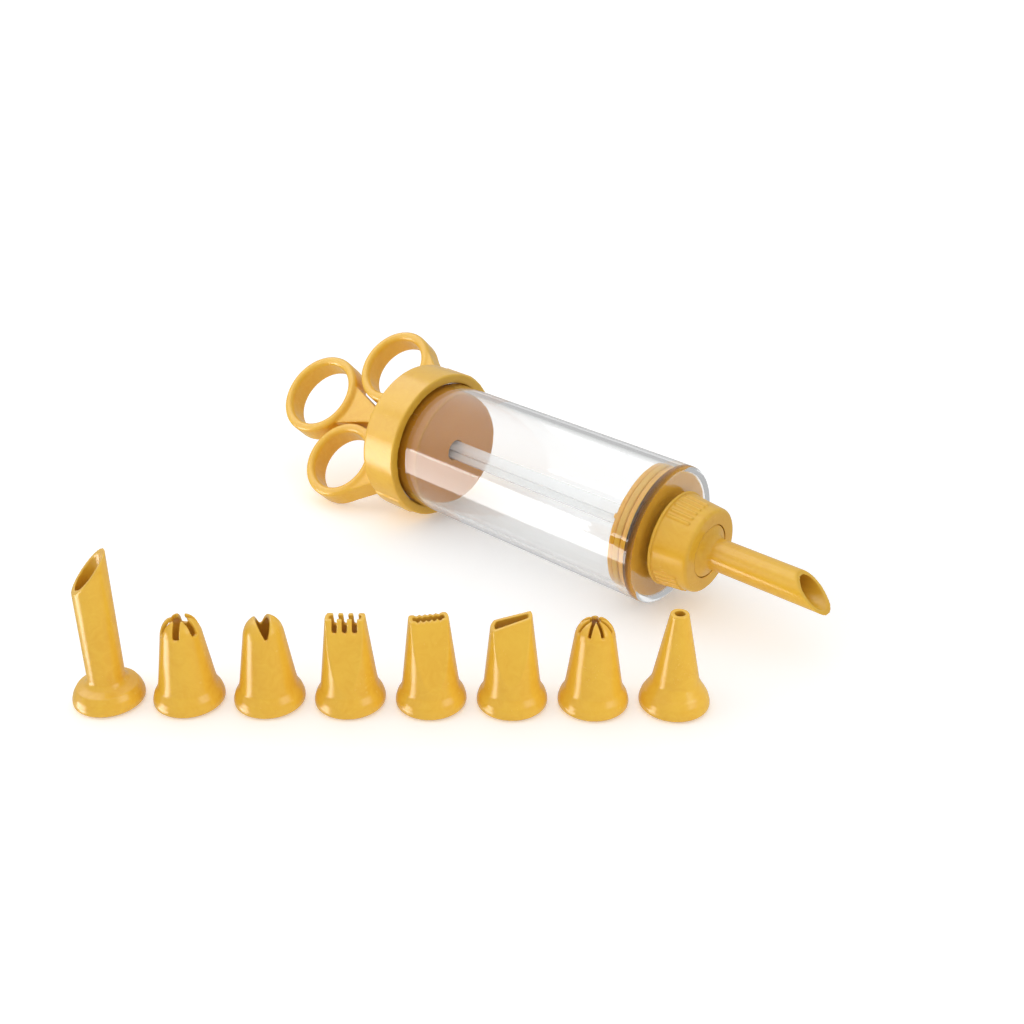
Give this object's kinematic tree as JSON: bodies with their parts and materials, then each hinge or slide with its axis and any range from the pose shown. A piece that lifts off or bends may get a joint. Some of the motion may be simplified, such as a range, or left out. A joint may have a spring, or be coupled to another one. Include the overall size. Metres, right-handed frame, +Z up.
{
  "type": "pastry syringe",
  "caption": "Pastry syringe with a clear barrel, ringed plunger and screw cap, a fitted filling nozzle and a row of interchangeable loose nozzles.",
  "frame": {"origin": "middle of the set's footprint on the table top", "axes": "+X toward the nozzle end of the lying syringe, +Z up from the table, the row of loose nozzles on the -Y side"},
  "size_m": [0.256, 0.2038, 0.0608],
  "materials": {
    "clear_plastic": "clear, polished",
    "clear_rod_plastic": "clear, polished",
    "yellow_plastic": "semi-gloss moulded",
    "seal_rubber": "soft, matte",
    "steel": "brushed"
  },
  "bodies": {
    "barrel": {"barrel": "clear_plastic"},
    "rod_guide": {"rod_guide": "yellow_plastic"},
    "finger_cap": {"finger_cap": "yellow_plastic"},
    "piston": {"piston": "yellow_plastic", "piston_seal": "seal_rubber"},
    "plunger": {"plunger_rod": "clear_rod_plastic", "thumb_ring": "yellow_plastic", "rod_pin": "steel", "piston_screw": "steel"},
    "fitted_nozzle": {"fitted_nozzle": "yellow_plastic"},
    "collar_nut": {"collar_nut": "yellow_plastic"},
    "filling_nozzle": {"filling_nozzle": "yellow_plastic"},
    "open_star_nozzle": {"open_star_nozzle": "yellow_plastic"},
    "leaf_nozzle": {"leaf_nozzle": "yellow_plastic"},
    "basket_nozzle": {"basket_nozzle": "yellow_plastic"},
    "ribbon_nozzle": {"ribbon_nozzle": "yellow_plastic"},
    "petal_nozzle": {"petal_nozzle": "yellow_plastic"},
    "closed_star_nozzle": {"closed_star_nozzle": "yellow_plastic"},
    "writing_nozzle": {"writing_nozzle": "yellow_plastic"}
  },
  "joints": [
    {"name": "cap_lead", "type": "slide", "parent": "barrel", "child": "rod_guide", "axis": [-0.9993, 0, 0.0367], "range_m": [0, 0.00788]},
    {"name": "cap_turn", "type": "hinge", "parent": "rod_guide", "child": "finger_cap", "pos_m": [-0.05644, 0.07143, 0.02948], "axis": [-0.9993, 0, 0.0367], "range_deg": [0, 810]},
    {"name": "plunger_slide", "type": "slide", "parent": "rod_guide", "child": "piston", "axis": [-0.9993, 0, 0.0367], "range_m": [0, 0.085]},
    {"name": "plunger_swivel", "type": "hinge", "parent": "piston", "child": "plunger", "pos_m": [0.05259, 0.07143, 0.02548], "axis": [-0.9993, 0, 0.0367], "continuous": true},
    {"name": "collar_lead", "type": "slide", "parent": "barrel", "child": "fitted_nozzle", "axis": [0.9993, 0, -0.0367], "range_m": [0, 0.007]},
    {"name": "collar_turn", "type": "hinge", "parent": "fitted_nozzle", "child": "collar_nut", "pos_m": [0.08327, 0.07143, 0.02435], "axis": [0.9993, 0, -0.0367], "range_deg": [0, 720]},
    {"name": "filling_nozzle_lift", "type": "slide", "parent": "barrel", "child": "filling_nozzle", "axis": [0, 0, 1], "range_m": [0, 0.06]},
    {"name": "open_star_nozzle_lift", "type": "slide", "parent": "barrel", "child": "open_star_nozzle", "axis": [0, 0, 1], "range_m": [0, 0.06]},
    {"name": "leaf_nozzle_lift", "type": "slide", "parent": "barrel", "child": "leaf_nozzle", "axis": [0, 0, 1], "range_m": [0, 0.06]},
    {"name": "basket_nozzle_lift", "type": "slide", "parent": "barrel", "child": "basket_nozzle", "axis": [0, 0, 1], "range_m": [0, 0.06]},
    {"name": "ribbon_nozzle_lift", "type": "slide", "parent": "barrel", "child": "ribbon_nozzle", "axis": [0, 0, 1], "range_m": [0, 0.06]},
    {"name": "petal_nozzle_lift", "type": "slide", "parent": "barrel", "child": "petal_nozzle", "axis": [0, 0, 1], "range_m": [0, 0.06]},
    {"name": "closed_star_nozzle_lift", "type": "slide", "parent": "barrel", "child": "closed_star_nozzle", "axis": [0, 0, 1], "range_m": [0, 0.06]},
    {"name": "writing_nozzle_lift", "type": "slide", "parent": "barrel", "child": "writing_nozzle", "axis": [0, 0, 1], "range_m": [0, 0.06]}
  ],
  "couplings": [
    {"joint": "cap_lead", "follows": "cap_turn", "m_per_rad": 0.00055704},
    {"joint": "collar_lead", "follows": "collar_turn", "m_per_rad": 0.00055704}
  ]
}
